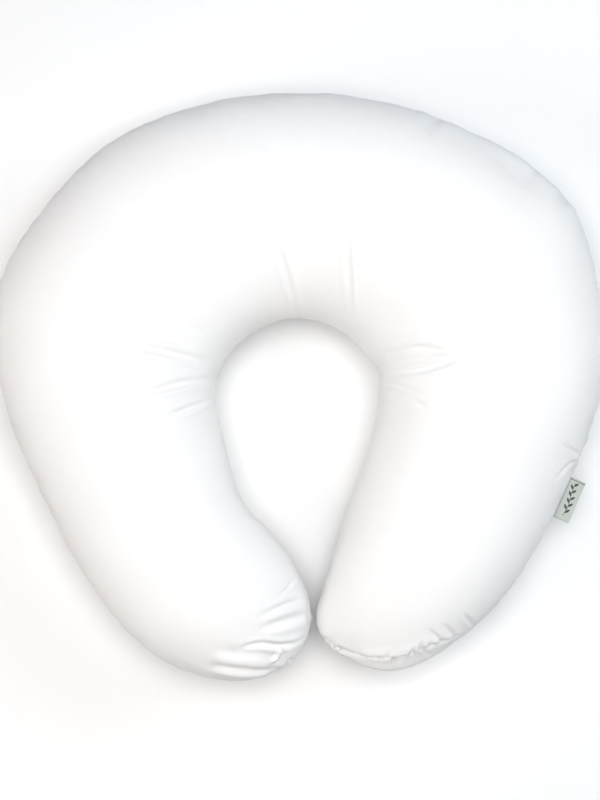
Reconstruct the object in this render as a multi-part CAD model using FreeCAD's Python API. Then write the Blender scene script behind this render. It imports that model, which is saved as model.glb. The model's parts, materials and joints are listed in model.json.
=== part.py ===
"""A C-shaped nursing pillow: a zipped cotton cover round a sewn, fibre-filled inner pillow.

Millimetres. +Z is up and the pillow lies on z = 0, with the waist opening at -Y and the crown at +Y.
The seam that joins the upper and lower panels lies in one level plane. Every layer is the same
skin, drawn at its own inset from the outside of the cover.
"""

import FreeCAD, Part
import math
import os

# ---- driving dimensions -------------------------------------------------------------------

SEAM_Z = 78.0  # height of the seam plane above the floor
RISE_MAX = 88.0  # how far the crown's top stands above the seam plane
RISE_SHARE = 0.88  # rise over half width, where the arms are narrower
DEPTH_MAX = 82.0  # how far the underside would bulge below the seam plane; the floor flattens it
DEPTH_SHARE = 1.08
SECTION_POWER = 0.93  # under 1 makes the section a little fuller than an ellipse
SECTION_STEPS = 12
RIB_STEPS = 3  # ribs in each interval between two key ribs

# the crown: outer and inner outlines are arcs, swept by angles from +Y, positive towards +X
CROWN_CENTRE = (0.0, -92.5)
CROWN_R = 368.5
CROWN_FROM, CROWN_TO = -25.5, 42.5
HOLE_CENTRE = (-1.0, -15.0)
HOLE_R = 78.0
HOLE_FROM, HOLE_TO = -39.5, 54.0
CROWN_RIBS = 17

SKIN_PATCHES = 6  # faces along each skin, end to end

# key ribs of the arms, from the crown to the tip: (outer x, outer y), (inner x, inner y)
LEFT_RIBS = [
    ((-242, 163), (-72, 20)),
    ((-284.6, 82), (-79, 1)),
    ((-278, -10), (-78, -22)),
    ((-246, -90), (-72, -48)),
    ((-193, -187), (-51, -111)),
    ((-131, -254), (-14, -155)),
    ((-78, -274), (5, -190)),
    ((-28, -271), (10, -227)),
]
LEFT_TIP = (-3, -254)
RIGHT_RIBS = [
    ((279.5, 99), (74, 16)),
    ((288.2, 25), (75.5, -9)),
    ((264, -63), (69, -49)),
    ((209, -172), (53, -96)),
    ((139, -245), (36, -149)),
    ((78, -266), (20, -199)),
    ((50, -258), (17, -224)),
]
RIGHT_TIP = (29, -244)

# insets of each layer's faces from the outside of the cover
COVER_T = 1.2
THREAD_IN, THREAD_OUT = 1.4, 1.9
CARE_IN, CARE_OUT = 2.1, 2.8
CASING_FACE, CASING_BACK = 5.0, 5.9
CASING_THREAD_IN, CASING_THREAD_OUT = 6.05, 6.5
FILL_FACE = 7.0
THREAD_HALF = 0.3

# zip, along the crown's outer edge, by the crown's own angles
ZIP_FROM, ZIP_TO = -21.5, 38.0  # ends of the gap in the seam
ZIP_HALF_GAP = 5.2  # half height of that gap
TAPE_OVERRUN = 1.6  # degrees of tape past each end of the gap
TAPE_T = 0.6
TAPE_INSET = 1.9
TAPE_EDGE, TAPE_HALF = 0.4, 12.0
TOOTH_PITCH = 2.0
TOOTH_L, TOOTH_D = 0.8, 1.9
TOOTH_REACH, TOOTH_FOOT = 0.7, 2.4
TOOTH_GAP = 0.05
TEETH_FROM, TEETH_TO = -20.6, 36.9
STOP_L = 2.4
STOP_T, STOP_HALF = 0.5, 3.0
STOP_TAPE_GAP = 0.2  # behind the tape, which curves away from the clip
STITCH_OFF = 7.2  # centre of the topstitching, above and below the zip's centre line
STITCH_W, STITCH_T = 0.5, 0.4
TACK_L, TACK_HALF = 1.4, 6.4

# slider, built at angle 0 and turned to SLIDER_AT
SLIDER_AT = 35.7
SLIDER_L, SLIDER_HALF, SLIDER_CORNER_R = 11.0, 4.2, 1.6
SLIDER_PLATE = 1.2
SLIDER_UNDER = 0.55  # from the cover's outside face to the plate's underside
FLANGE_T = 0.9
FLANGE_FLOOR = -1.5
BACK_INSET, BACK_T = 2.95, 0.9
BRIDGE_L, BRIDGE_W, BRIDGE_H, BRIDGE_T = 8.4, 2.2, 2.9, 0.9
PULL_AXIS_UP = 1.15  # from the plate's top face to the pull's pivot
PULL_BAR_R = 0.55
PULL_ARM_W, PULL_ARM_GAP = 1.0, 1.9
PULL_CORNER_R = 2.2
PULL_NECK = 5.4  # pivot to the near edge of the pull's tab
PULL_L, PULL_HALF, PULL_T = 27.0, 3.6, 1.1
PULL_HOLE_R = 1.3

# side label, a ribbon folded double, on the right arm's outer edge
LABEL_MIDDLE = (246.0, -105.4)  # on the seam line
LABEL_L = 41.0
LABEL_OUT = 15.0  # from the rolled root's centre line to the fold
LABEL_T, LABEL_SLOT = 0.5, 0.3
LABEL_STANDOFF = 0.95  # from the seam to the root's centre line

# care label, inside the cover, below the seam and just past the zip's left end
CARE_CENTRE = (-252.0, 149.4)  # on the seam line
CARE_TURN = 55.0
CARE_W, CARE_DROP = 30.0, 42.0

# the stitches that close the hole the fibre went in by
CLOSING_FROM, CLOSING_TO, CLOSING_COUNT = -9.0, 9.0, 20
CLOSING_HALF, CLOSING_W, CLOSING_T, CLOSING_GAP = 3.0, 0.6, 0.4, 0.05

REACH = 800.0  # wider than the whole pillow
SAME = 1e-9
V = FreeCAD.Vector
UP = V(0, 0, 1)


# ---- outline and skins ---------------------------------------------------------------------


def crown_ribs():
    """Key ribs across the crown, from left to right."""
    ribs = []
    for k in range(CROWN_RIBS):
        share = k / (CROWN_RIBS - 1)
        outer = math.radians(CROWN_FROM + (CROWN_TO - CROWN_FROM) * share)
        inner = math.radians(HOLE_FROM + (HOLE_TO - HOLE_FROM) * share)
        ribs.append(
            (
                (CROWN_CENTRE[0] + CROWN_R * math.sin(outer), CROWN_CENTRE[1] + CROWN_R * math.cos(outer)),
                (HOLE_CENTRE[0] + HOLE_R * math.sin(inner), HOLE_CENTRE[1] + HOLE_R * math.cos(inner)),
            )
        )
    return ribs


def seam_points():
    """Outer and inner points of every key rib, from the left tip to the right tip."""
    ribs = [(LEFT_TIP, LEFT_TIP)] + LEFT_RIBS[::-1] + crown_ribs() + RIGHT_RIBS + [(RIGHT_TIP, RIGHT_TIP)]
    outer = [V(o[0], o[1], SEAM_Z) for o, _ in ribs]
    inner = [V(i[0], i[1], SEAM_Z) for _, i in ribs]
    return outer, inner


def lengths_along(points):
    """Distance to each point along the run of points."""
    total, out = 0.0, [0.0]
    for a, b in zip(points, points[1:]):
        total += (b - a).Length
        out.append(total)
    return out


def closed_outline():
    """The seam line as one smooth closed curve, and its parameter at each key rib's two ends."""
    outer, inner = seam_points()
    loop = outer + inner[-2:0:-1]
    along = lengths_along(loop + [loop[0]])
    curve = Part.BSplineCurve()
    curve.interpolate(Points=loop, PeriodicFlag=True, Parameters=along)
    outer_at = along[: len(outer)]
    inner_at = [along[-1]] + [along[-1 - k] for k in range(1, len(inner) - 1)] + [outer_at[-1]]
    return curve, outer_at, inner_at


def between(values, steps):
    """The values with steps - 1 more, evenly spaced, in each interval."""
    out = []
    for a, b in zip(values, values[1:]):
        out += [a + (b - a) * k / steps for k in range(steps)]
    return out + [values[-1]]


OUTLINE, OUTER_AT, INNER_AT = closed_outline()
OUTER_PARAMS = between(OUTER_AT, RIB_STEPS)
INNER_PARAMS = between(INNER_AT, RIB_STEPS)


def outline_point(at, inset):
    """A point of the seam line, moved into the pillow by inset."""
    point, along = OUTLINE.value(at), OUTLINE.tangent(at)[0]
    return point + V(along.y, -along.x, 0) * inset


def section_point(outer, inner, inset, turn, side):
    """A point of a rib's section, from turn 0 at the outer seam to pi at the inner one.

    outer and inner are already inset. side is 1 above the seam and -1 below it.
    """
    half = (inner - outer).Length / 2
    if side > 0:
        height = min(RISE_MAX, RISE_SHARE * (half + inset))
    else:
        height = min(DEPTH_MAX, DEPTH_SHARE * (half + inset))
    height = max(0.0, height - inset) if half > 0 else 0.0
    across = math.copysign(abs(math.cos(turn)) ** SECTION_POWER, math.cos(turn))
    lift = math.sin(turn) ** SECTION_POWER if 0 < turn < math.pi else 0.0
    middle = (outer + inner) * 0.5
    return middle + (outer - middle) * across + UP * (side * height * lift)


def smooth_surface(grid, rows_at, columns_at):
    """The surface through a grid of points, interpolated along the columns and then across the rows."""
    columns = []
    for j in range(len(columns_at)):
        curve = Part.BSplineCurve()
        curve.interpolate(Points=[row[j] for row in grid], Parameters=rows_at)
        columns.append(curve)
    across = Part.BSplineCurve()
    net = []
    for poles in zip(*[c.getPoles() for c in columns]):
        if poles[0].isEqual(poles[-1], SAME):
            net.append([poles[0]] * (len(poles) + 2))  # a tip, where the whole row is one point
        else:
            across.interpolate(Points=list(poles), Parameters=columns_at)
            net.append(across.getPoles())
    surface = Part.BSplineSurface()
    surface.buildFromPolesMultsKnots(
        net,
        columns[0].getMultiplicities(),
        across.getMultiplicities(),
        columns[0].getKnots(),
        across.getKnots(),
        False,
        False,
        3,
        3,
    )
    return surface


def skin(inset, side):
    """The pillow's skin above (side 1) or below (side -1) the seam, at that inset."""
    outer = [outline_point(at, inset) for at in OUTER_PARAMS]
    inner = [outline_point(at, inset) for at in INNER_PARAMS]
    outer[0] = inner[0] = outline_point(OUTER_PARAMS[0], inset)
    outer[-1] = inner[-1] = outline_point(OUTER_PARAMS[-1], inset)
    rows_at = lengths_along([(o + i) * 0.5 + (o - i) * 0.25 for o, i in zip(outer, inner)])
    turns = [math.pi * k / SECTION_STEPS for k in range(SECTION_STEPS + 1)]
    grid = [[section_point(o, i, inset, turn, side) for turn in turns] for o, i in zip(outer, inner)]
    return smooth_surface(grid, rows_at, turns)


def solid_of(faces):
    """The closed solid that these faces bound."""
    shell = Part.Shell(Part.makeShell(faces).Faces)
    shell.sewShape()
    solid = Part.Solid(shell)
    if solid.Volume < 0:
        solid.reverse()
    return solid


def patch_bounds(surface):
    """The parameters at which a skin is split into faces, along it and across it."""
    along, across = surface.getUKnots(), surface.getVKnots()
    rows = [along[round(k * (len(along) - 1) / SKIN_PATCHES)] for k in range(SKIN_PATCHES + 1)]
    return rows, [across[0], across[len(across) // 2], across[-1]]


def skin_faces(surface):
    """A skin as patches that meet edge to edge."""
    rows, columns = patch_bounds(surface)
    faces = []
    for u_from, u_to in zip(rows, rows[1:]):
        for v_from, v_to in zip(columns, columns[1:]):
            patch = surface.copy()
            patch.segment(u_from, u_to, v_from, v_to)
            faces.append(patch.toShape())
    return faces


def seam_face(surface):
    """The flat face inside a skin's edge, in the seam plane."""
    rows, columns = patch_bounds(surface)
    sides = [surface.vIso(v) for v in (columns[0], columns[-1])]
    edges = [line.toShape(u_from, u_to) for line in sides for u_from, u_to in zip(rows, rows[1:])]
    return Part.Face(Part.Wire(Part.__sortEdges__(edges)))


def half_tube(inset, side):
    """The solid between the seam plane and the skin above or below it, flat where it meets the floor."""
    surface = skin(inset, side)
    solid = solid_of(skin_faces(surface) + [seam_face(surface)])
    if side < 0:
        solid = solid.common(block(V(0, 0, inset + REACH / 2), REACH, REACH, REACH))
    return solid


# ---- small helpers -------------------------------------------------------------------------


def block(centre, x, y, z):
    """A box about its centre."""
    return Part.makeBox(x, y, z, centre - V(x, y, z) * 0.5)


def group(shapes):
    """Several separate solids as one node's shape."""
    return Part.makeCompound(shapes)


def crown_turn(shape, degrees):
    """The shape turned about the crown's vertical axis, positive towards +X."""
    turned = shape.copy()
    turned.rotate(V(*CROWN_CENTRE, 0), UP, -degrees)
    return turned


def crown_box(x, radius_from, radius_to, z_from, z_to):
    """A box at the crown's angle 0: its width along the edge, and its radii and heights."""
    low = V(CROWN_CENTRE[0] - x / 2, CROWN_CENTRE[1] + radius_from, SEAM_Z + z_from)
    return Part.makeBox(x, radius_to - radius_from, z_to - z_from, low)


def crown_sweep(corners, from_deg, to_deg):
    """A section of (radius, height above the seam) corners, swept along the crown's edge."""
    points = [V(CROWN_CENTRE[0], CROWN_CENTRE[1] + r, SEAM_Z + z) for r, z in corners]
    face = Part.Face(Part.makePolygon(points + [points[0]]))
    return crown_turn(face.revolve(V(*CROWN_CENTRE, 0), UP, from_deg - to_deg), from_deg)


def wall_recess(z):
    """How far the crown's outer wall has curved in, at a height above (or below) the seam."""
    half = (CROWN_CENTRE[1] + CROWN_R - HOLE_CENTRE[1] - HOLE_R) / 2
    height = RISE_MAX if z > 0 else DEPTH_MAX
    turn = math.asin((abs(z) / height) ** (1 / SECTION_POWER))
    return half * (1 - math.cos(turn) ** SECTION_POWER)


def seam_ring(inset_from, inset_to):
    """A thread's square section, run round the whole seam between two insets."""
    rings = [seam_face(skin(inset, 1)) for inset in (inset_from, inset_to)]
    ring = rings[0].extrude(UP * (2 * THREAD_HALF)).cut(rings[1].extrude(UP * (2 * THREAD_HALF)))
    ring.translate(UP * -THREAD_HALF)
    return ring


def zip_gap():
    """The space that the cover leaves open for the zip."""
    corners = [
        (CROWN_R - 12, -ZIP_HALF_GAP),
        (CROWN_R + 6, -ZIP_HALF_GAP),
        (CROWN_R + 6, ZIP_HALF_GAP),
        (CROWN_R - 12, ZIP_HALF_GAP),
    ]
    return crown_sweep(corners, ZIP_FROM, ZIP_TO)


# ---- cover ---------------------------------------------------------------------------------


def cover_panel(side):
    """One cotton panel of the cover, with the zip's gap cut from its crown edge."""
    return half_tube(0, side).cut(half_tube(COVER_T, side)).cut(zip_gap())


def cover_seam_thread():
    """The sewing thread inside the seam, all round except along the zip."""
    return seam_ring(THREAD_IN, THREAD_OUT).cut(zip_gap())


def care_label():
    """A satin label sewn inside the cover, hanging down from the seam and following the wall."""
    window = block(V(0, 0, SEAM_Z - 1 - CARE_DROP / 2), CARE_W, 120, CARE_DROP)
    window.rotate(V(0, 0, 0), UP, CARE_TURN)
    window.translate(V(*CARE_CENTRE, 0))
    layer = half_tube(CARE_IN, -1).common(window).cut(half_tube(CARE_OUT, -1))
    return max(layer.Solids, key=lambda s: s.Volume)


def side_label():
    """The folded ribbon that stands out of the side seam: a rolled root, two layers and a fold."""
    half = LABEL_T + LABEL_SLOT / 2
    flat = LABEL_OUT - half
    layers = block(V(flat / 2, 0, 0), flat, LABEL_L, 2 * half)
    rolls = [Part.makeCylinder(half, LABEL_L, V(x, -LABEL_L / 2, 0), V(0, 1, 0)) for x in (0, flat)]
    slot = block(V((half + flat) / 2, 0, 0), flat - half, LABEL_L, LABEL_SLOT)
    label = layers.fuse(rolls).cut(slot).removeSplitter()
    root, out = label_root()
    label.rotate(V(0, 0, 0), UP, math.degrees(math.atan2(out.y, out.x)))
    label.translate(root)
    return label


def label_root():
    """The middle of the side label's rolled root, and the way the label points."""
    at = OUTLINE.parameter(V(*LABEL_MIDDLE, SEAM_Z))
    along = OUTLINE.tangent(at)[0]
    return outline_point(at, -LABEL_STANDOFF), V(-along.y, along.x, 0)


# ---- zip -----------------------------------------------------------------------------------


def zip_tape(side):
    """One woven tape, behind the cover's edge, curved as the wall is."""
    heights = [side * h for h in (TAPE_EDGE, TAPE_HALF / 2, TAPE_HALF)]
    front = [(CROWN_R - TAPE_INSET - wall_recess(z), z) for z in heights]
    back = [(r - TAPE_T, z) for r, z in reversed(front)]
    return crown_sweep(front + back, ZIP_FROM - TAPE_OVERRUN, ZIP_TO + TAPE_OVERRUN)


def zip_teeth(side):
    """One side's teeth. The two sides stand half a pitch apart, and reach past the centre line."""
    foot = CROWN_R - TAPE_INSET + TOOTH_GAP
    low, high = sorted((-side * TOOTH_REACH, side * TOOTH_FOOT))
    tooth = crown_box(TOOTH_L, foot, foot + TOOTH_D, low, high)
    step = math.degrees(TOOTH_PITCH / CROWN_R)
    count = int((TEETH_TO - TEETH_FROM) / step)
    first = TEETH_FROM + (step / 2 if side < 0 else 0)
    return group([crown_turn(tooth, first + k * step) for k in range(count)])


def zip_top_stops():
    """Two clips, one on each tape's edge, at the end where the closed slider rests."""
    front, back = stop_faces()
    clips = []
    for side in (1, -1):
        low, high = sorted((side * 0.05, side * STOP_HALF))
        clip = crown_box(STOP_L, back - STOP_T, front + STOP_T, low, high)
        low, high = sorted((side * (TAPE_EDGE - TOOTH_GAP), side * (STOP_HALF + 1)))
        slot = crown_box(2 * STOP_L, back, front, low, high)
        clips.append(crown_turn(clip.cut(slot), ZIP_TO - 0.45))
    return group(clips)


def zip_bottom_stop():
    """One clip across both tapes, at the end where the open slider stops."""
    front, back = stop_faces()
    edge = TAPE_EDGE - TOOTH_GAP
    web = crown_box(STOP_L, back, front, -edge, edge)
    outer = crown_box(STOP_L, front, front + STOP_T, -STOP_HALF, STOP_HALF)
    inner = crown_box(STOP_L, back - STOP_T, back, -STOP_HALF, STOP_HALF)
    return crown_turn(web.fuse([outer, inner]).removeSplitter(), ZIP_FROM + 0.3)


def stop_faces():
    """Radii of a stop's two inner faces, in front of the tape and behind it."""
    front = CROWN_R - TAPE_INSET
    return front + TOOTH_GAP, front - TAPE_T - STOP_TAPE_GAP


def zip_topstitch(side):
    """The row of thread that holds a tape to its panel, on the cover's outside."""
    low, high = side * (STITCH_OFF - STITCH_W / 2), side * (STITCH_OFF + STITCH_W / 2)
    face = CROWN_R - wall_recess(low) + TOOTH_GAP
    corners = [(face, low), (face + STITCH_T, low), (face + STITCH_T, high), (face, high)]
    return crown_sweep(corners, ZIP_FROM, ZIP_TO)


def zip_bar_tacks():
    """The dense stitching across each end of the zip's gap."""
    tack = crown_box(TACK_L, CROWN_R + TOOTH_GAP, CROWN_R + TOOTH_GAP + STITCH_T, -TACK_HALF, TACK_HALF)
    return group([crown_turn(tack, ZIP_FROM - 0.35), crown_turn(tack, ZIP_TO + 0.35)])


def zip_slider():
    """The slider's front plate with its flanges and bridge, and its back plate behind the tapes."""
    under = CROWN_R + SLIDER_UNDER
    top = under + SLIDER_PLATE
    flange_l = SLIDER_L - 2 * SLIDER_CORNER_R
    bridge = crown_box(BRIDGE_L, top, top + BRIDGE_H, -BRIDGE_W / 2, BRIDGE_W / 2)
    inside = crown_box(BRIDGE_L - 2 * BRIDGE_T, top, top + BRIDGE_H - BRIDGE_T, -BRIDGE_W, BRIDGE_W)
    pieces = [bridge.cut(inside)]
    for side in (1, -1):
        low, high = sorted((side * (SLIDER_HALF - FLANGE_T), side * SLIDER_HALF))
        pieces.append(crown_box(flange_l, CROWN_R + FLANGE_FLOOR, under, low, high))
    front = slider_plate(under, SLIDER_PLATE).fuse(pieces).removeSplitter()
    back = slider_plate(CROWN_R - BACK_INSET - BACK_T, BACK_T)
    return crown_turn(group([front, back]), SLIDER_AT)


def slider_plate(radius_from, thickness):
    """A plate of the slider, with rounded corners, at the crown's angle 0."""
    plate = crown_box(SLIDER_L, radius_from, radius_from + thickness, -SLIDER_HALF, SLIDER_HALF)
    return plate.makeFillet(SLIDER_CORNER_R, edges_through(plate, thickness))


def edges_through(plate, thickness):
    """The edges of a flat plate that run through its thickness, along Y."""
    return [e for e in plate.Edges if abs(e.Vertexes[0].Y - e.Vertexes[1].Y) > thickness / 2]


def pull_pivot():
    """The pull's pivot, at the crown's angle 0."""
    radius = CROWN_R + SLIDER_UNDER + SLIDER_PLATE + PULL_AXIS_UP
    return V(CROWN_CENTRE[0], CROWN_CENTRE[1] + radius, SEAM_Z)


def zip_pull():
    """The pull: a bar under the slider's bridge, two arms and a drilled tab, laid along the zip."""
    pivot = pull_pivot()
    arm_out = PULL_ARM_GAP + PULL_ARM_W
    bar = Part.makeCylinder(PULL_BAR_R, 2 * arm_out, pivot - UP * arm_out)
    pieces = []
    for side in (1, -1):
        arm_l = PULL_NECK + PULL_CORNER_R
        middle = pivot + V(-arm_l / 2, 0, side * (PULL_ARM_GAP + PULL_ARM_W / 2))
        pieces.append(block(middle, arm_l, PULL_T, PULL_ARM_W))
    tab_l = PULL_L - PULL_NECK
    tab = block(pivot - V(PULL_NECK + tab_l / 2, 0, 0), tab_l, PULL_T, 2 * PULL_HALF)
    tab = tab.makeFillet(PULL_CORNER_R, edges_through(tab, PULL_T))
    hole_at = pivot - V(PULL_L - 2.6 * PULL_HOLE_R, PULL_T, 0)
    tab = tab.cut(Part.makeCylinder(PULL_HOLE_R, 2 * PULL_T, hole_at, V(0, 1, 0)))
    return crown_turn(bar.fuse(pieces + [tab]).removeSplitter(), SLIDER_AT)


# ---- inner pillow --------------------------------------------------------------------------


def casing_panel(side):
    """One panel of the inner pillow's casing."""
    return half_tube(CASING_FACE, side).cut(half_tube(CASING_BACK, side))


def casing_closing_stitches():
    """Whip stitches across the casing's seam, behind the zip, where the fibre went in."""
    face = CROWN_R - CASING_FACE + CLOSING_GAP
    stitch = crown_box(CLOSING_W, face, face + CLOSING_T, -CLOSING_HALF, CLOSING_HALF)
    step = (CLOSING_TO - CLOSING_FROM) / (CLOSING_COUNT - 1)
    return group([crown_turn(stitch, CLOSING_FROM + k * step) for k in range(CLOSING_COUNT)])


def fibre_fill():
    """The stuffing, as one body."""
    return half_tube(FILL_FACE, 1).fuse(half_tube(FILL_FACE, -1)).removeSplitter()


# ---- output --------------------------------------------------------------------------------


def nodes():
    """Every piece, by the name a person would use."""
    return {
        "cover_upper_panel": cover_panel(1),
        "cover_lower_panel": cover_panel(-1),
        "cover_seam_thread": cover_seam_thread(),
        "care_label": care_label(),
        "side_label": side_label(),
        "zip_tape_upper": zip_tape(1),
        "zip_tape_lower": zip_tape(-1),
        "zip_teeth_upper": zip_teeth(1),
        "zip_teeth_lower": zip_teeth(-1),
        "zip_top_stops": zip_top_stops(),
        "zip_bottom_stop": zip_bottom_stop(),
        "zip_topstitch_upper": zip_topstitch(1),
        "zip_topstitch_lower": zip_topstitch(-1),
        "zip_bar_tacks": zip_bar_tacks(),
        "zip_slider": zip_slider(),
        "zip_pull": zip_pull(),
        "casing_upper_panel": casing_panel(1),
        "casing_lower_panel": casing_panel(-1),
        "casing_seam_thread": seam_ring(CASING_THREAD_IN, CASING_THREAD_OUT),
        "casing_closing_stitches": casing_closing_stitches(),
        "fibre_fill": fibre_fill(),
    }


def main():
    os.makedirs("parts", exist_ok=True)
    for name, shape in nodes().items():
        shape.exportStep(f"parts/{name}.step")
        print(f"{name}: {len(shape.Solids)} solids, valid {shape.isValid()}, {shape.Volume:.0f} mm3")
    print("pull pivot", crown_turn(Part.Vertex(pull_pivot()), SLIDER_AT).Point)
    print("label root and direction", *label_root())


main()
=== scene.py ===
"""The nursing pillow's looks: a puckered cotton cover, its label and its zip, round the CAD frame."""

import json
import math
import random

import bmesh
import bpy
import numpy as np
from mathutils import Matrix, Vector, kdtree, noise
from mathutils.bvhtree import BVHTree


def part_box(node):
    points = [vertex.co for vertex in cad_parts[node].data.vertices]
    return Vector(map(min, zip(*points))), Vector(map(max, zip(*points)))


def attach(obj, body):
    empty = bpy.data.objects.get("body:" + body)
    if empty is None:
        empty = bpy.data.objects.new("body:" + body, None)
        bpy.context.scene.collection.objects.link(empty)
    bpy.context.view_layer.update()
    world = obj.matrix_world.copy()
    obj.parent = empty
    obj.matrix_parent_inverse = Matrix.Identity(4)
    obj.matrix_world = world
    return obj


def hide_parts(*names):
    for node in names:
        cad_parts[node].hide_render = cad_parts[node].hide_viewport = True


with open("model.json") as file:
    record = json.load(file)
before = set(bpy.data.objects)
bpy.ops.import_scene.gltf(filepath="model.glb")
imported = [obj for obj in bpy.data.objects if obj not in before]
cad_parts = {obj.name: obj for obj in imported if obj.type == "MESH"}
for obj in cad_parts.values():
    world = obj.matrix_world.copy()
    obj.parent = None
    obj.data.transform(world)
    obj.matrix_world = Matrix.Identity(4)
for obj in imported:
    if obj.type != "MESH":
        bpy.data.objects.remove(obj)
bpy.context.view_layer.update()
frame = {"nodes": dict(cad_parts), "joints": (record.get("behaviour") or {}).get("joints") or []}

# ---- places, in metres, from the frame -----------------------------------------------------

UPPER_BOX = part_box("cover_upper_panel")
FILL_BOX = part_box("fibre_fill")
SEAM_Z = UPPER_BOX[0].z
FILL_INSET = UPPER_BOX[1].z - FILL_BOX[1].z
ZIP_JOINT = next(j for j in frame["joints"] if j["name"] == "zip_slide")
CROWN = Vector(ZIP_JOINT["pos_m"][:2])  # centre of the crown's outer arc
CROWN_R = UPPER_BOX[1].y - CROWN.y

ZIP_FROM, ZIP_TO = -21.5, 38.0  # degrees round the crown's arc, as in the part
ZIP_HALF_GAP = 0.0052
COVER_T = 0.0012
LIP_STEPS = ((COVER_T, 0.0002), (0.0002, 0.004))  # how far the turned-in edge goes in, and back from the zip
LABEL_JOINT = next(j for j in frame["joints"] if j["name"] == "label_flex")

# ---- how the cover is made up --------------------------------------------------------------

VOXEL = 0.0052
FIRST_SWELL = 0.64  # share of the inset; with more, the two arms' ends would be joined
SECOND_SWELL = 0.5  # goes 1 mm past the CAD surface, so the nearest surface is its outside
SNAP_REACH = 0.005
TOP, BOTTOM = 0, 1  # the panel that a face of the cover belongs to, kept as its material index
SLACK = 0.06  # how much too long the cloth is by the seam
SLACK_REACH = 0.06
CLOTH_STEPS = 24
WRINKLE_ROUNDS = 14  # smoothing that gives the slow part of the cloth's movement, which is taken away
WRINKLE_CAP = 0.003
SEAM_DEPTH, SEAM_WIDTH = 0.0016, 0.0024
SEAM_BAND = 0.012  # the strip beside the seam with a finer mesh
SEAM_WANDER = 0.003
ROLLING = 0.0009
CREASE_CAP = 0.0042
CASING_GAP = 0.0004  # at least this much is left between the cover and the casing inside it
LEAST_ROOM = 0.0002
FLOOR_CLEAR = 0.004  # the underside is flat below this height

# where the seam is drawn up: place (mm), reach (mm), strength
GATHERS = [
    ((262, -60), 55, 1.0),
    ((212, -160), 60, 0.5),
    ((100, -258), 70, 1.0),
    ((32, -236), 30, 1.0),
    ((-25, -268), 50, 1.0),
    ((4, -205), 35, 0.6),
    ((-76, 10), 45, 0.7),
    ((74, 8), 45, 0.7),
    ((175, 220), 80, 0.4),
    ((-280, 60), 90, 0.3),
]
EVEN_GATHER = 0.42

# where the seam sits higher than its plane: place (mm), reach (mm), rise (mm)
LIFTS = [
    ((98, -252), 95, 42),
    ((-8, -262), 45, 9),
]
LIFT_SPREAD = 0.095  # how far from the seam the cloth moves with it

# folds in the upper panel, seen from above: points (mm), width and depth (mm)
FOLDS = [
    ([(-158, 29), (-119, 22), (-84, 17)], 3.4, 3.6),
    ([(-142, -19), (-112, -7), (-84, 2)], 3.2, 3.2),
    ([(-119, -36), (-98, -27), (-82, -15)], 2.6, 2.8),
    ([(-112, 48), (-94, 43), (-84, 38)], 5.0, 1.2),
    ([(-130, 36), (-112, 32), (-96, 28)], 5.0, 1.2),
    ([(80, 25), (111, 26), (138, 19)], 2.8, 2.9),
    ([(86, 4), (118, 8), (152, 19)], 2.8, 2.9),
    ([(80, -3), (97, -10), (116, -18)], 2.8, 2.2),
    ([(101, -19), (116, -29)], 2.4, 1.8),
    ([(86, 30), (108, 38)], 4.0, 1.3),
    ([(-18, 116), (-9, 88), (-2, 66)], 2.6, 2.4),
    ([(43, 149), (45, 100), (49, 60)], 2.4, 2.0),
    ([(56, 124), (55, 96)], 3.4, 1.0),
    ([(118, 223), (126, 243), (129, 250)], 7.0, 2.6),
    ([(209, 180), (218, 195), (221, 198)], 6.0, 2.2),
    ([(236, 160), (248, 171), (251, 174)], 6.0, 2.4),
    ([(166, 229), (190, 216), (212, 201), (233, 184)], 15.0, -3.4),
    ([(236, -60), (246, -64), (258, -68), (268, -69)], 2.6, 1.9),
    ([(232, -93), (243, -82), (255, -74), (268, -67)], 2.8, 1.5),
    ([(-21, -202), (-10, -190), (-2, -178)], 1.8, 1.4),
    ([(-36, -216), (-12, -206), (7, -199)], 3.0, 2.4),
    ([(-34, -226), (-10, -220), (8, -214)], 4.0, 3.0),
    ([(-52, -244), (-34, -241), (-16, -243), (5, -236)], 2.8, 3.4),
    ([(-16, -243), (-20, -254), (-27, -258)], 2.6, -2.6),
    ([(-80, -261), (-62, -264), (-46, -266), (-24, -266)], 4.2, 5.0),
    ([(-80, -252), (-62, -255), (-44, -257), (-24, -259)], 5.0, -3.2),
    ([(45, -249), (64, -258), (93, -259), (120, -250), (146, -237)], 7.0, 3.0),
    ([(116, -227), (125, -235), (133, -241)], 2.4, 2.2),
    ([(131, -223), (139, -231), (146, -237)], 2.2, 2.0),
    ([(148, -213), (156, -221), (162, -226)], 2.2, 1.8),
]


# ---- numpy and mesh helpers ----------------------------------------------------------------


def positions(mesh):
    co = np.empty(len(mesh.vertices) * 3, np.float32)
    mesh.vertices.foreach_get("co", co)
    return co.reshape(-1, 3).astype(float)


def normals(mesh):
    no = np.empty(len(mesh.vertices) * 3, np.float32)
    mesh.vertices.foreach_get("normal", no)
    return no.reshape(-1, 3).astype(float)


def move_to(mesh, co):
    mesh.vertices.foreach_set("co", co.astype(np.float32).ravel())
    mesh.update()


def add_object(name, mesh):
    obj = bpy.data.objects.new(name, mesh)
    bpy.context.scene.collection.objects.link(obj)
    return obj


def evaluated(obj):
    """A new mesh with the object's modifiers applied. The object is removed."""
    graph = bpy.context.evaluated_depsgraph_get()
    mesh = bpy.data.meshes.new_from_object(obj.evaluated_get(graph), depsgraph=graph)
    bpy.data.objects.remove(obj)
    return mesh


def remeshed(mesh, size):
    obj = add_object("work", mesh)
    step = obj.modifiers.new("remesh", "REMESH")
    step.mode = "VOXEL"
    step.voxel_size = size
    return evaluated(obj)


def smoothstep(low, high, x):
    t = np.clip((x - low) / (high - low), 0, 1)
    return t * t * (3 - 2 * t)


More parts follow.
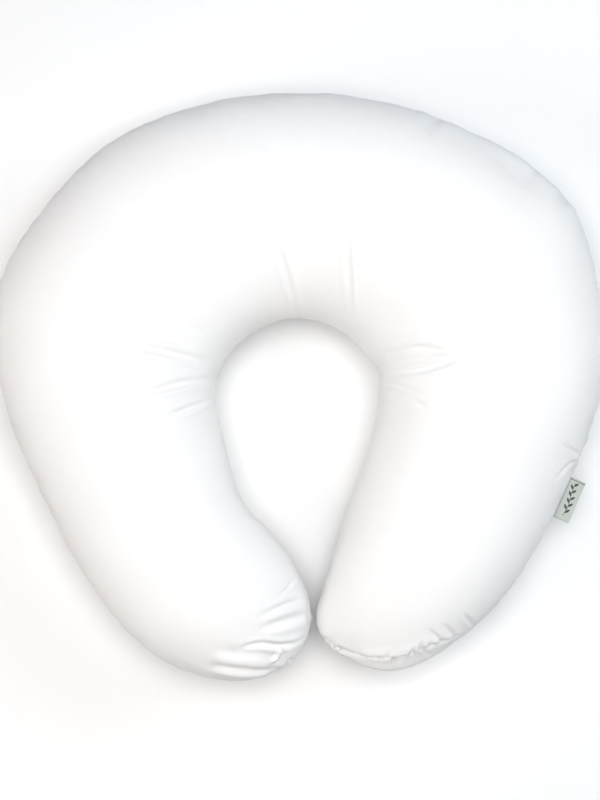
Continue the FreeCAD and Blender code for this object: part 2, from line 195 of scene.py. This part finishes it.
def neighbour_mean(mesh, values, rounds):
    """Values smoothed over the mesh's edges."""
    edges = np.empty(len(mesh.edges) * 2, np.int32)
    mesh.edges.foreach_get("vertices", edges)
    a, b = edges.reshape(-1, 2).T
    count = np.bincount(a, minlength=len(values)) + np.bincount(b, minlength=len(values))
    out = np.array(values, float)
    for _ in range(rounds):
        total = np.zeros_like(out)
        np.add.at(total, a, out[b])
        np.add.at(total, b, out[a])
        out = total / (count[:, None] if out.ndim > 1 else count)
    return out


# ---- the cover's skin ----------------------------------------------------------------------


def closed_skin():
    """The cover's outside as one closed, even quad mesh, with a row of vertices on the seam."""
    source = frame["nodes"]["fibre_fill"].data.copy()
    work = bmesh.new()
    work.from_mesh(source)
    bmesh.ops.remove_doubles(work, verts=work.verts, dist=1e-5)
    work.to_mesh(source)
    work.free()
    mesh = remeshed(source, VOXEL)
    swell(mesh, FILL_INSET * FIRST_SWELL)
    lift = (math.floor(SEAM_Z / VOXEL) + 0.5) * VOXEL - SEAM_Z  # puts the seam on a row of the voxels
    mesh.transform(Matrix.Translation((0, 0, lift)))
    mesh = remeshed(mesh, VOXEL)
    mesh.transform(Matrix.Translation((0, 0, -lift)))
    move_to(mesh, neighbour_mean(mesh, positions(mesh), 2))
    swell(mesh, FILL_INSET * SECOND_SWELL)
    trees = [surface_tree(frame["nodes"][n].data) for n in ("cover_upper_panel", "cover_lower_panel")]
    co = positions(mesh)
    in_gap = along_zip(co, 0) & (np.abs(co[:, 2] - SEAM_Z) < 0.7 * ZIP_HALF_GAP)
    for i, point in enumerate(co):
        tree = trees[0] if point[2] > SEAM_Z else trees[1]
        hit = tree.find_nearest(Vector(point), SNAP_REACH)
        if hit[0] is not None and not in_gap[i]:
            co[i] = hit[0]
    co[np.abs(co[:, 2] - SEAM_Z) < 0.3 * VOXEL, 2] = SEAM_Z
    out = crown_angle(co)[1]
    reach = (CROWN_R / (CROWN_R + out))[:, None]
    co[in_gap, :2] = (np.array(CROWN) + (co[:, :2] - np.array(CROWN)) * reach)[in_gap]
    move_to(mesh, co)
    for face in mesh.polygons:
        face.material_index = TOP if face.center.z > SEAM_Z else BOTTOM
    return mesh


def swell(mesh, distance):
    for _ in range(2):
        move_to(mesh, positions(mesh) + normals(mesh) * (distance / 2))


def surface_tree(mesh):
    return BVHTree.FromPolygons([v.co for v in mesh.vertices], [p.vertices[:] for p in mesh.polygons])


def crown_angle(co):
    """Degrees round the crown's outer arc, 0 at +Y and positive towards +X, and distance out from it."""
    x, y = co[..., 0] - CROWN.x, co[..., 1] - CROWN.y
    return np.degrees(np.arctan2(x, y)), np.hypot(x, y) - CROWN_R


def along_zip(co, margin):
    """Which points stand by the zip: past its ends by up to a margin in metres, on the crown's outside."""
    angle, out = crown_angle(co)
    more = math.degrees(margin / CROWN_R)
    return (angle > ZIP_FROM - more) & (angle < ZIP_TO + more) & (out > -0.03)


# ---- the seam and what it gathers ----------------------------------------------------------


def on_seam(mesh):
    """Which vertices have faces of both panels round them."""
    low = np.full(len(mesh.vertices), BOTTOM)
    high = np.full(len(mesh.vertices), TOP)
    for face in mesh.polygons:
        corners = list(face.vertices)
        low[corners] = np.minimum(low[corners], face.material_index)
        high[corners] = np.maximum(high[corners], face.material_index)
    return low != high


def seam_loop(mesh):
    """The seam's vertices in order, round the whole outline."""
    on = on_seam(mesh)
    beside = {}
    for edge in mesh.edges:
        a, b = edge.vertices
        if on[a] and on[b]:
            beside.setdefault(a, []).append(b)
            beside.setdefault(b, []).append(a)
    loop = [min(beside)]
    ahead = beside[loop[0]][0]
    while ahead != loop[0]:
        loop.append(ahead)
        left, right = beside[ahead]
        ahead = right if left == loop[-2] else left
    return loop


def tree_of(points):
    tree = kdtree.KDTree(len(points))
    for i, point in enumerate(points):
        tree.insert(point, i)
    tree.balance()
    return tree


def seam_distance(co, seam):
    tree = tree_of(seam)
    return np.array([tree.find(point)[2] for point in co])


def gather_strength(co):
    """How strongly the seam is drawn up near each point, from 0 to 1."""
    strength = np.full(len(co), EVEN_GATHER)
    for (x, y), reach, amount in GATHERS:
        away = np.hypot(co[:, 0] - x / 1000, co[:, 1] - y / 1000)
        strength = np.maximum(strength, amount * (1 - smoothstep(0.3 * reach / 1000, reach / 1000, away)))
    return strength


def kept_smooth(co):
    """1 where the cover may crease, 0 along the zip, at the label's root and where it lies on the floor."""
    height = np.abs(co[:, 2] - SEAM_Z)
    free = 1 - along_zip(co, 0.006) * (1 - smoothstep(0.012, 0.022, height))
    label = np.linalg.norm(co - np.array(LABEL_JOINT["pos_m"]), axis=1)
    free = free * smoothstep(0.004, 0.03, label)
    return free * smoothstep(0.3 * FLOOR_CLEAR, 2 * FLOOR_CLEAR, co[:, 2])


def wrinkles(mesh, seam):
    """How a cover cut too long by the seam buckles, from a cloth simulation: only its wrinkles, capped."""
    co, away = positions(mesh), seam_distance(positions(mesh), seam)
    pad = add_object("pad", mesh.copy())
    pinned = (kept_smooth(co) < 0.05) | (away < 1e-6)
    pad.vertex_groups.new(name="pinned").add(np.nonzero(pinned)[0].tolist(), 1.0, "REPLACE")
    taut = pad.vertex_groups.new(name="taut")
    share = np.round(smoothstep(0.0, SLACK_REACH, away), 2)
    for level in np.unique(share[share > 0]):
        taut.add(np.nonzero(share == level)[0].tolist(), float(level), "REPLACE")
    cloth = pad.modifiers.new("cloth", "CLOTH")
    cloth.settings.quality = 5
    cloth.settings.mass = 0.2
    cloth.settings.air_damping = 2
    cloth.settings.tension_stiffness = 20
    cloth.settings.compression_stiffness = 20
    cloth.settings.shear_stiffness = 8
    cloth.settings.bending_stiffness = 0.5
    cloth.settings.use_pressure = True
    cloth.settings.uniform_pressure_force = 5
    cloth.settings.vertex_group_mass = "pinned"
    cloth.settings.vertex_group_shrink = "taut"
    cloth.settings.shrink_min = -SLACK
    cloth.settings.shrink_max = 0
    cloth.settings.effector_weights.gravity = 0
    cloth.collision_settings.use_collision = False
    cloth.collision_settings.use_self_collision = False
    for step in range(1, CLOTH_STEPS + 1):
        bpy.context.scene.frame_set(step)
    moved = positions(evaluated(pad)) - co
    bpy.context.scene.frame_set(1)
    moved = moved - neighbour_mean(mesh, moved, WRINKLE_ROUNDS)
    length = np.linalg.norm(moved, axis=1)[:, None] + 1e-9
    moved = moved * (WRINKLE_CAP * np.tanh(length / WRINKLE_CAP) / length)
    near = 0.15 + 0.85 * gather_strength(co) * (1 - smoothstep(0.02, 0.07, away))
    return moved * (near * kept_smooth(co))[:, None]


def subdivided(mesh):
    obj = add_object("work", mesh)
    step = obj.modifiers.new("finer", "SUBSURF")
    step.levels = 1
    return evaluated(obj)


def split_where(mesh, wanted):
    """Splits the quads that have a wanted vertex, so that narrow creases keep their shape."""
    work = bmesh.new()
    work.from_mesh(mesh)
    work.verts.ensure_lookup_table()
    edges = [e for e in work.edges if wanted[e.verts[0].index] or wanted[e.verts[1].index]]
    bmesh.ops.subdivide_edges(work, edges=edges, cuts=1, use_grid_fill=True)
    out = bpy.data.meshes.new("finer")
    work.to_mesh(out)
    work.free()
    return out


class Creases:
    """Valleys with raised shoulders, added up over a mesh's vertices as a height in metres."""

    def __init__(self, co):
        self.co = co
        self.height = np.zeros(len(co))

    def add(self, path, width, depth, taper):
        """taper takes the share along the path, from 0 to 1, and gives the depth's share there."""
        path = np.array(path)
        margin = 4 * width
        low, high = path.min(axis=0) - margin, path.max(axis=0) + margin
        near = np.nonzero(((self.co > low) & (self.co < high)).all(axis=1))[0]
        if not len(near):
            return
        best = np.full(len(near), 1.0)
        share = np.zeros(len(near))
        steps = len(path) - 1
        for k in range(steps):
            line = path[k + 1] - path[k]
            from_start = self.co[near] - path[k]
            t = np.clip(from_start @ line / (line @ line), 0, 1)
            away = np.linalg.norm(from_start - t[:, None] * line, axis=1)
            closer = away < best
            best[closer] = away[closer]
            share[closer] = (k + t[closer]) / steps
        x = best / width
        profile = -np.exp(-x * x) + 0.42 * np.exp(-((x - 1.9) ** 2))
        self.height[near] += depth * taper(share) * profile


def mid_taper(share):
    return np.sin(np.pi * np.clip(share, 0.02, 0.98)) ** 0.7


def end_taper(share):
    return (1 - share) ** 1.4


def curved(path, steps):
    """More points on a smooth curve through a few."""
    ends = [path[0] * 2 - path[1], *path, path[-1] * 2 - path[-2]]
    out = []
    for k in range(1, len(ends) - 2):
        p0, p1, p2, p3 = ends[k - 1 : k + 3]
        for i in range(steps):
            t = i / steps
            bend = (p1 * 2 + (p2 - p0) * t + (p0 * 2 - p1 * 5 + p2 * 4 - p3) * t * t)
            out.append((bend + (p1 * 3 - p0 - p2 * 3 + p3) * t * t * t) / 2)
    return [*out, path[-1]]


def add_folds(creases, skin_tree):
    """The single folds of the upper panel, dropped onto it from above."""
    for points, width, depth in FOLDS:
        path = [dropped(x / 1000, y / 1000, skin_tree) for x, y in points]
        creases.add(curved(path, 6), width / 1000, depth / 1000, mid_taper)


def dropped(x, y, skin_tree):
    """The cover's point below a place, or the nearest one at the seam's height if that is off its edge."""
    hit = skin_tree.ray_cast(Vector((x, y, 1)), Vector((0, 0, -1)))[0]
    if hit is None:
        return skin_tree.find_nearest(Vector((x, y, SEAM_Z)))[0]
    return hit


def add_puckers(creases, seam, skin_tree):
    """Short creases that start in the seam and run up or down the cover, denser where it is gathered."""
    rng = random.Random(11)
    strength = gather_strength(np.array(seam))
    lengths = np.cumsum([(seam[k] - seam[k - 1]).length for k in range(len(seam))])
    place = 0.0
    while place < lengths[-1]:
        k = min(int(np.searchsorted(lengths, place)), len(seam) - 1)
        power = strength[k]
        along = (seam[(k + 2) % len(seam)] - seam[k - 2]).normalized()
        for side in (1, -1):
            reach = (0.007 + 0.024 * power * rng.random()) * (1 if side > 0 else 0.8)
            skew = rng.uniform(-0.45, 0.45)
            path = [seam[k]]
            for step in (0.35, 0.7, 1.0):
                guess = seam[k] + (Vector((0, 0, side)) + along * skew * step) * reach * step
                path.append(skin_tree.find_nearest(guess)[0])
            depth = (0.0004 + 0.0024 * power * power) * rng.uniform(0.35, 1.0)
            creases.add(path, rng.uniform(0.0014, 0.0022 + 0.0012 * power), depth, end_taper)
        place += rng.uniform(0.006, 0.015) / (0.45 + 0.7 * power)


def rolling(co):
    """Slow unevenness of the filling, about half a millimetre."""
    return np.array([noise.noise(Vector(point) * 22) for point in co]) * ROLLING


def pressed_seam(co, away):
    """The valley along the seam and the cloth that swells over on both sides of it."""
    drawn = gather_strength(co) ** 2
    x = away / (SEAM_WIDTH * (1 + 0.8 * drawn))
    return SEAM_DEPTH * (1 + 1.1 * drawn) * (0.25 * np.exp(-((x - 2.4) ** 2)) - np.exp(-x * x))


def room_inside(co, no, height):
    """How far each point of the cover may go in before it meets the casing."""
    trees = [surface_tree(frame["nodes"][n].data) for n in ("casing_upper_panel", "casing_lower_panel")]
    room = np.full(len(co), CREASE_CAP)
    for i in np.nonzero(height < -0.0005)[0]:
        for tree in trees:
            far = tree.ray_cast(Vector(co[i]), Vector(-no[i]), CREASE_CAP + CASING_GAP)[3]
            if far is not None:
                room[i] = min(room[i], far - CASING_GAP)
    return np.maximum(room, LEAST_ROOM)


def lifted_seam(mesh, away, skin_tree):
    """The cover slid a little over its filling, so that the seam wanders and rises at the arms' ends."""
    co = positions(mesh)
    lift = np.array([noise.noise(Vector(point) * 9 + Vector((7, 0, 0))) for point in co]) * SEAM_WANDER
    for (x, y), reach, amount in LIFTS:
        off = np.hypot(co[:, 0] - x / 1000, co[:, 1] - y / 1000)
        lift += amount / 1000 * (1 - smoothstep(0.2 * reach / 1000, reach / 1000, off))
    lift *= (1 - smoothstep(0.0, LIFT_SPREAD, away)) * kept_smooth(co)
    out = co.copy()
    for i in np.nonzero(np.abs(lift) > 1e-5)[0]:
        out[i] = skin_tree.find_nearest(Vector(co[i]) + Vector((0, 0, lift[i])))[0]
    crowded = smoothstep(0.0, VOXEL / 2, away) * smoothstep(0.003, 0.01, np.abs(lift))
    return out + (neighbour_mean(mesh, out, 3) - out) * crowded[:, None]


def whole_cover():
    """The cover before it is split along its seam."""
    mesh = closed_skin()
    seam = [mesh.vertices[i].co.copy() for i in seam_loop(mesh)]
    move_to(mesh, positions(mesh) + wrinkles(mesh, seam))
    mesh = subdivided(mesh)
    skin_tree = surface_tree(mesh)
    seam = [mesh.vertices[i].co.copy() for i in seam_loop(mesh)]
    move_to(mesh, lifted_seam(mesh, seam_distance(positions(mesh), seam), skin_tree))
    seam = [mesh.vertices[i].co.copy() for i in seam_loop(mesh)]
    co = positions(mesh)
    coarse = Creases(co)
    add_folds(coarse, skin_tree)
    mesh = split_where(mesh, (seam_distance(co, seam) < SEAM_BAND) | (np.abs(coarse.height) > 0.0002))
    co, no = positions(mesh), normals(mesh)
    creases = Creases(co)
    add_folds(creases, skin_tree)
    add_puckers(creases, seam, skin_tree)
    height = creases.height + rolling(co) + pressed_seam(co, seam_distance(co, seam))
    height *= kept_smooth(co)
    limit = room_inside(co, no, height)
    co = co + no * (limit * np.tanh(height / limit))[:, None]
    co[:, 2] = np.maximum(co[:, 2], 0)
    move_to(mesh, co)
    return mesh


# ---- the two panels, and the zip's opening ---------------------------------------------------


def cut(work, faces, place, normal):
    edges = {e for f in faces for e in f.edges}
    verts = {v for f in faces for v in f.verts}
    geom = [*faces, *edges, *verts]
    bmesh.ops.bisect_plane(work, geom=geom, dist=2e-5, plane_co=place, plane_no=normal)


def by_zip(work, margin):
    faces = work.faces[:]
    centre = np.array([f.calc_center_median() for f in faces])
    height = np.abs(centre[:, 2] - SEAM_Z)
    wanted = along_zip(centre, margin) & (height < ZIP_HALF_GAP + margin)
    return [f for f, w in zip(faces, wanted) if w]


def panel(mesh, side, name):
    """One panel of the cover, with its edge turned in along the zip."""
    work = bmesh.new()
    work.from_mesh(mesh)
    other = [f for f in work.faces if f.material_index != (TOP if side > 0 else BOTTOM)]
    bmesh.ops.delete(work, geom=other, context="FACES")
    for face in work.faces:
        face.material_index = 0
    cut(work, by_zip(work, 0.01), Vector((0, 0, SEAM_Z + side * ZIP_HALF_GAP)), (0, 0, 1))
    for angle in (ZIP_FROM, ZIP_TO):
        turn = math.radians(angle)
        across = Vector((math.cos(turn), -math.sin(turn), 0))
        cut(work, by_zip(work, 0.01), CROWN.to_3d(), across)
    bmesh.ops.delete(work, geom=by_zip(work, 0), context="FACES")
    lip = [e for e in work.edges if e.is_boundary and is_lip(e)]
    for inward, back in LIP_STEPS:
        made = bmesh.ops.extrude_edge_only(work, edges=lip)["geom"]
        for v in (g for g in made if isinstance(g, bmesh.types.BMVert)):
            radial = Vector((v.co.x - CROWN.x, v.co.y - CROWN.y, 0)).normalized()
            v.co += Vector((0, 0, side * back)) - radial * inward
        lip = [g for g in made if isinstance(g, bmesh.types.BMEdge) and g.is_boundary and is_lip(g)]
    out = bpy.data.meshes.new(name)
    work.to_mesh(out)
    work.free()
    out.polygons.foreach_set("use_smooth", [True] * len(out.polygons))
    return add_object(name, out)


def is_lip(edge):
    """Whether a border edge belongs to the zip's opening and not to the seam."""
    heights = [abs(v.co.z - SEAM_Z) for v in edge.verts]
    middle = (edge.verts[0].co + edge.verts[1].co) / 2
    return max(heights) > 0.0003 and along_zip(np.array([middle]), 0.001)[0]


def cover():
    mesh = whole_cover()
    cotton = woven("cotton", (0.85, 0.845, 0.84), 0.85, 0.00045, 0.00003, sheen=0.1)
    panels = ((1, "cover_top", "cover_upper_panel"), (-1, "cover_bottom", "cover_lower_panel"))
    for side, name, replaced in panels:
        obj = panel(mesh, side, name)
        obj.data.materials.append(cotton)
        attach(obj, "pillow")
        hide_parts(replaced)


# ---- the side label --------------------------------------------------------------------------

LABEL_L, LABEL_OUT, LABEL_HALF = 0.041, 0.015, 0.0004
RIBBON_T = 0.0005
THREAD_HEIGHT = 0.0002
STEM_L, STEM_OUT, STEM_WAVE, STEM_HALF = 0.033, 0.0072, 0.0011, 0.0004
LEAF_L, LEAF_HALF, LEAF_LEAN = 0.0062, 0.0016, math.radians(38)
LABEL_AT = Vector(LABEL_JOINT["pos_m"])
LABEL_OUTWARD = Vector((0, 0, 1)).cross(Vector(LABEL_JOINT["axis"]))


def label_place(along, out, up):
    """A point of the label from its own axes, after it has curled a little."""
    share = out / LABEL_OUT
    curl = 0.0011 * math.sin(along / LABEL_L * 5.0 + 0.6) * share * share - 0.0012 * share * share
    return LABEL_AT + Vector(LABEL_JOINT["axis"]) * along + LABEL_OUTWARD * out + Vector((0, 0, up + curl))


def label_section():
    """The ribbon's middle line, out along the top, round the fold and back along the underside."""
    straight = LABEL_OUT - LABEL_HALF - RIBBON_T / 2
    top = [(straight * k / 8, LABEL_HALF) for k in range(8)]
    turns = [math.pi * k / 6 for k in range(7)]
    fold = [(straight + LABEL_HALF * math.sin(t), LABEL_HALF * math.cos(t)) for t in turns]
    return top + fold + [(x, -y) for x, y in reversed(top)]


def side_label():
    section = label_section()
    stations = 28
    points, faces, along_values = [], [], []
    for i in range(stations + 1):
        along = LABEL_L * (i / stations - 0.5)
        for out, up in section:
            points.append(label_place(along, out, up))
            along_values.append(along / LABEL_L)
    width = len(section)
    for i in range(stations):
        for k in range(width - 1):
            first = i * width + k
            faces.append((first, first + 1, first + width + 1, first + width))
    mesh = bpy.data.meshes.new("side_ribbon")
    mesh.from_pydata(points, [], faces)
    mesh.attributes.new("along", "FLOAT", "POINT").data.foreach_set("value", along_values)
    obj = add_object("side_ribbon", mesh)
    step = obj.modifiers.new("thickness", "SOLIDIFY")
    step.thickness = RIBBON_T
    step.offset = 0
    mesh.materials.append(ribbon_material())
    mesh.polygons.foreach_set("use_smooth", [True] * len(mesh.polygons))
    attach(obj, "label")
    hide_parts("side_label")


def sprig():
    """A leafy sprig in raised dark thread on the label's upper face."""
    top = LABEL_HALF + RIBBON_T / 2
    points, faces = [], []

    def strip(left, right, height):
        """A raised strip between two lists of (along, out) points."""
        start = len(points)
        for (a, o), (b, p) in zip(left, right):
            points.append(label_place(a, o, top - 0.0001))
            points.append(label_place((a + b) / 2, (o + p) / 2, top + height))
            points.append(label_place(b, p, top - 0.0001))
        for k in range(len(left) - 1):
            row = start + 3 * k
            faces.append((row, row + 1, row + 4, row + 3))
            faces.append((row + 1, row + 2, row + 5, row + 4))

    stem = [(STEM_L * (0.5 - k / 20), STEM_OUT + STEM_WAVE * math.sin(k / 20 * 5.5)) for k in range(21)]
    strip([(a, o - STEM_HALF) for a, o in stem], [(a, o + STEM_HALF) for a, o in stem], THREAD_HEIGHT)
    for n in range(2, 20, 2):
        side = 1 if n % 4 else -1
        base = stem[n]
        length = LEAF_L - 0.00006 * n
        ahead = (-math.cos(LEAF_LEAN), side * math.sin(LEAF_LEAN))
        across = (-ahead[1], ahead[0])
        left, right = [], []
        for k in range(9):
            t = k / 8
            wide = LEAF_HALF * math.sin(math.pi * t) ** 0.8
            centre = (base[0] + ahead[0] * length * t, base[1] + ahead[1] * length * t)
            left.append((centre[0] + across[0] * wide, centre[1] + across[1] * wide))
            right.append((centre[0] - across[0] * wide, centre[1] - across[1] * wide))
        strip(left, right, 1.1 * THREAD_HEIGHT)
    mesh = bpy.data.meshes.new("label_sprig")
    mesh.from_pydata(points, [], faces)
    obj = add_object("label_sprig", mesh)
    mesh.materials.append(thread("dark_thread", (0.045, 0.055, 0.045)))
    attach(obj, "label")


# ---- materials -----------------------------------------------------------------------------


class Shader:
    """A material with a Principled shader, and short ways to add nodes to it."""

    def __init__(self, name, colour, roughness, **settings):
        self.material = bpy.data.materials.new(name)
        self.material.use_nodes = True
        self.tree = self.material.node_tree
        self.principled = self.tree.nodes["Principled BSDF"]
        self.principled.inputs["Base Color"].default_value = (*colour, 1)
        self.principled.inputs["Roughness"].default_value = roughness
        for key, value in settings.items():
            self.principled.inputs[key.replace("_", " ")].default_value = value
        self.place = self.node("ShaderNodeTexCoord").outputs["Object"]
        self.normal = None

    def node(self, kind, **values):
        made = self.tree.nodes.new(kind)
        for key, value in values.items():
            setattr(made, key, value)
        return made

    def join(self, source, target):
        self.tree.links.new(source, target)

    def noise(self, scale, detail=2.0):
        made = self.node("ShaderNodeTexNoise")
        made.inputs["Scale"].default_value = scale
        made.inputs["Detail"].default_value = detail
        self.join(self.place, made.inputs["Vector"])
        return made.outputs["Fac"]

    def wave(self, direction, pitch):
        made = self.node("ShaderNodeTexWave", bands_direction=direction)
        made.inputs["Scale"].default_value = math.pi / (10 * pitch)
        self.join(self.place, made.inputs["Vector"])
        return made.outputs["Fac"]

    def maths(self, operation, first, second):
        made = self.node("ShaderNodeMath", operation=operation)
        for socket, value in zip(made.inputs, (first, second)):
            if isinstance(value, (int, float)):
                socket.default_value = value
            else:
                self.join(value, socket)
        return made.outputs[0]

    def tint(self, amount, low, high):
        """Base colour between two colours, by an amount from 0 to 1."""
        made = self.node("ShaderNodeMix", data_type="RGBA")
        made.inputs[6].default_value = (*low, 1)
        made.inputs[7].default_value = (*high, 1)
        self.join(amount, made.inputs[0])
        self.join(made.outputs[2], self.principled.inputs["Base Color"])

    def bump(self, height, distance, strength=1.0):
        """Adds relief, over what was added before."""
        made = self.node("ShaderNodeBump")
        made.inputs["Distance"].default_value = distance
        made.inputs["Strength"].default_value = strength
        self.join(height, made.inputs["Height"])
        if self.normal:
            self.join(self.normal, made.inputs["Normal"])
        self.normal = made.outputs["Normal"]
        self.join(self.normal, self.principled.inputs["Normal"])


def darker(colour, share):
    return tuple(c * share for c in colour)


def woven(name, colour, roughness, pitch, depth, sheen=0.0):
    """Plain-woven cloth: threads both ways, a little crumple, and slightly uneven colour."""
    shader = Shader(name, colour, roughness, Sheen_Weight=sheen, Sheen_Roughness=0.6)
    both = shader.maths("ADD", shader.wave("X", pitch), shader.wave("Y", pitch))
    threads = shader.maths("ADD", both, shader.wave("Z", pitch))
    shader.bump(threads, depth)
    shader.bump(shader.noise(90.0, 3.0), 0.0003)
    shader.tint(shader.noise(14.0, 3.0), darker(colour, 0.975), colour)
    return shader.material


def ribbon_material():
    """Satin ribbon: fine lengthwise threads, and a darker woven line near one end."""
    green_grey = (0.47, 0.50, 0.455)
    shader = Shader("ribbon", green_grey, 0.5, Sheen_Weight=0.2)
    shader.bump(shader.maths("ADD", shader.wave("X", 0.0005), shader.wave("Y", 0.0004)), 0.00004)
    along = shader.node("ShaderNodeAttribute", attribute_name="along").outputs["Fac"]
    off_line = shader.maths("ABSOLUTE", shader.maths("ADD", along, 0.455), 0)
    line = shader.maths("LESS_THAN", off_line, 0.009)
    shader.tint(line, green_grey, (0.10, 0.11, 0.10))
    return shader.material


def thread(name, colour):
    """Twisted sewing thread."""
    shader = Shader(name, colour, 0.65, Sheen_Weight=0.2)
    shader.bump(shader.maths("ADD", shader.wave("DIAGONAL", 0.0005), shader.noise(900.0)), 0.00005)
    shader.tint(shader.noise(60.0), darker(colour, 0.9), colour)
    return shader.material


def painted(name, colour, roughness, metallic=0.0):
    """Moulded or painted hard parts, with a faint orange peel and uneven gloss."""
    shader = Shader(name, colour, roughness, Metallic=metallic)
    shader.bump(shader.noise(700.0), 0.00002)
    rough = shader.maths("ADD", shader.maths("MULTIPLY", shader.noise(120.0), 0.12), roughness - 0.06)
    shader.join(rough, shader.principled.inputs["Roughness"])
    shader.tint(shader.noise(40.0), darker(colour, 0.96), colour)
    return shader.material


def fibre():
    """Loose polyester fibre."""
    shader = Shader("fibre", (0.88, 0.88, 0.87), 0.95, Sheen_Weight=0.4)
    shader.bump(shader.noise(260.0, 6.0), 0.002)
    shader.tint(shader.noise(60.0, 4.0), (0.80, 0.80, 0.79), (0.90, 0.90, 0.90))
    return shader.material


def dress(names, material):
    """Gives CAD nodes that stay in view their material."""
    for name in names:
        obj = frame["nodes"][name]
        obj.data.materials.clear()
        obj.data.materials.append(material)


def rounded(names, width):
    """Softens the edges of small hard CAD nodes."""
    for name in names:
        step = frame["nodes"][name].modifiers.new("rounded", "BEVEL")
        step.width = width
        step.segments = 2
        step.limit_method = "ANGLE"
        step.angle_limit = math.radians(50)


def cad_nodes():
    white_thread = thread("white_thread", (0.86, 0.86, 0.86))
    dress(("cover_seam_thread", "casing_seam_thread", "casing_closing_stitches"), white_thread)
    dress(("zip_topstitch_upper", "zip_topstitch_lower", "zip_bar_tacks"), white_thread)
    dress(("care_label",), woven("care_satin", (0.82, 0.82, 0.82), 0.45, 0.0003, 0.00002, sheen=0.2))
    dress(("zip_tape_upper", "zip_tape_lower"), woven("tape", (0.80, 0.80, 0.81), 0.8, 0.0007, 0.00006))
    dress(("zip_teeth_upper", "zip_teeth_lower"), painted("tooth_plastic", (0.84, 0.84, 0.83), 0.35))
    dress(("zip_top_stops", "zip_bottom_stop"), painted("tooth_metal", (0.75, 0.75, 0.75), 0.4, 0.3))
    dress(("zip_slider", "zip_pull"), painted("white_metal", (0.85, 0.85, 0.85), 0.3, 0.1))
    casing = woven("casing", (0.84, 0.84, 0.83), 0.9, 0.0006, 0.00004)
    dress(("casing_upper_panel", "casing_lower_panel"), casing)
    dress(("fibre_fill",), fibre())
    rounded(("zip_slider", "zip_pull"), 0.00012)


# ---- stage ---------------------------------------------------------------------------------


def camera():
    """A view from almost straight above, leaning a little towards the arms' side."""
    target = Vector((0.001, -0.015, SEAM_Z))
    reach, height_seen, lean = 1.8, 0.752, math.radians(85)
    data = bpy.data.cameras.new("camera")
    data.lens = 36 * reach / height_seen
    obj = add_object("camera", data)
    back = Vector((0, -math.cos(lean), math.sin(lean)))
    obj.location = target + back * reach
    obj.rotation_mode = "QUATERNION"
    obj.rotation_quaternion = (-back).to_track_quat("-Z", "Y")
    bpy.context.scene.camera = obj


def area_light(name, place, target, size, watts, colour):
    data = bpy.data.lights.new(name, "AREA")
    data.size = size
    data.energy = watts
    data.color = colour
    obj = add_object(name, data)
    obj.location = place
    obj.rotation_mode = "QUATERNION"
    obj.rotation_quaternion = (Vector(target) - Vector(place)).to_track_quat("-Z", "Y")


def opening_light():
    """The light that the floor and the arms throw at each other inside the opening."""
    bounce = bpy.data.lights.new("hole_bounce", "POINT")
    bounce.energy = 0.022
    bounce.shadow_soft_size = 0.04
    bounce.color = (1.0, 0.95, 0.88)
    lamp = add_object("hole_bounce", bounce)
    lamp.location = (0, -0.04, 0.12)
    lamp.visible_camera = False


def stage():
    """A pale floor that glows with painted light further off, a dim room, and soft lights above and at the
    sides.
    """
    mesh = bpy.data.meshes.new("floor")
    half = 60.0
    corners = [(-half, -half, 0), (half, -half, 0), (half, half, 0), (-half, half, 0)]
    mesh.from_pydata(corners, [], [(0, 1, 2, 3)])
    floor = add_object("floor", mesh)
    paper = Shader("paper", (0.86, 0.86, 0.86), 0.8)
    paper.bump(paper.noise(400.0), 0.00005)
    # painted light: the floor glows, from nothing at 0.7 m out to its full strength at 3 m, so that it looks
    # lit further off
    away = paper.node("ShaderNodeVectorMath", operation="LENGTH")
    paper.join(paper.place, away.inputs[0])
    glow = paper.node("ShaderNodeMapRange", interpolation_type="SMOOTHSTEP")
    glow.inputs["From Min"].default_value = 0.7
    glow.inputs["From Max"].default_value = 3.0
    glow.inputs["To Max"].default_value = 0.85
    paper.join(away.outputs["Value"], glow.inputs["Value"])
    paper.join(glow.outputs["Result"], paper.principled.inputs["Emission Strength"])
    paper.principled.inputs["Emission Color"].default_value = (1, 1, 1, 1)
    mesh.materials.append(paper.material)
    world = bpy.data.worlds.new("room")
    world.use_nodes = True
    world.node_tree.nodes["Background"].inputs["Color"].default_value = (0.97, 0.98, 1.0, 1)
    world.node_tree.nodes["Background"].inputs["Strength"].default_value = 0.09
    bpy.context.scene.world = world
    area_light("overhead", (0.02, -0.08, 2.4), (0, -0.02, 0), 1.2, 47.0, (1.0, 1.0, 1.0))
    area_light("warm_side", (-1.5, -0.6, 1.5), (-0.1, 0, 0.05), 1.0, 12.5, (1.0, 0.90, 0.83))
    area_light("cool_side", (1.5, 0.5, 1.5), (0.1, 0, 0.05), 1.0, 14.0, (0.82, 0.92, 1.0))
    area_light("cool_back", (-0.2, 1.9, 0.7), (0, 0.1, 0.05), 1.0, 0.9, (0.0, 0.4, 1.0))
    opening_light()
    view = bpy.context.scene.view_settings
    view.view_transform = "Standard"
    view.look = "None"


# ---- all together --------------------------------------------------------------------------

cover()
side_label()
sprig()
cad_nodes()
camera()
stage()
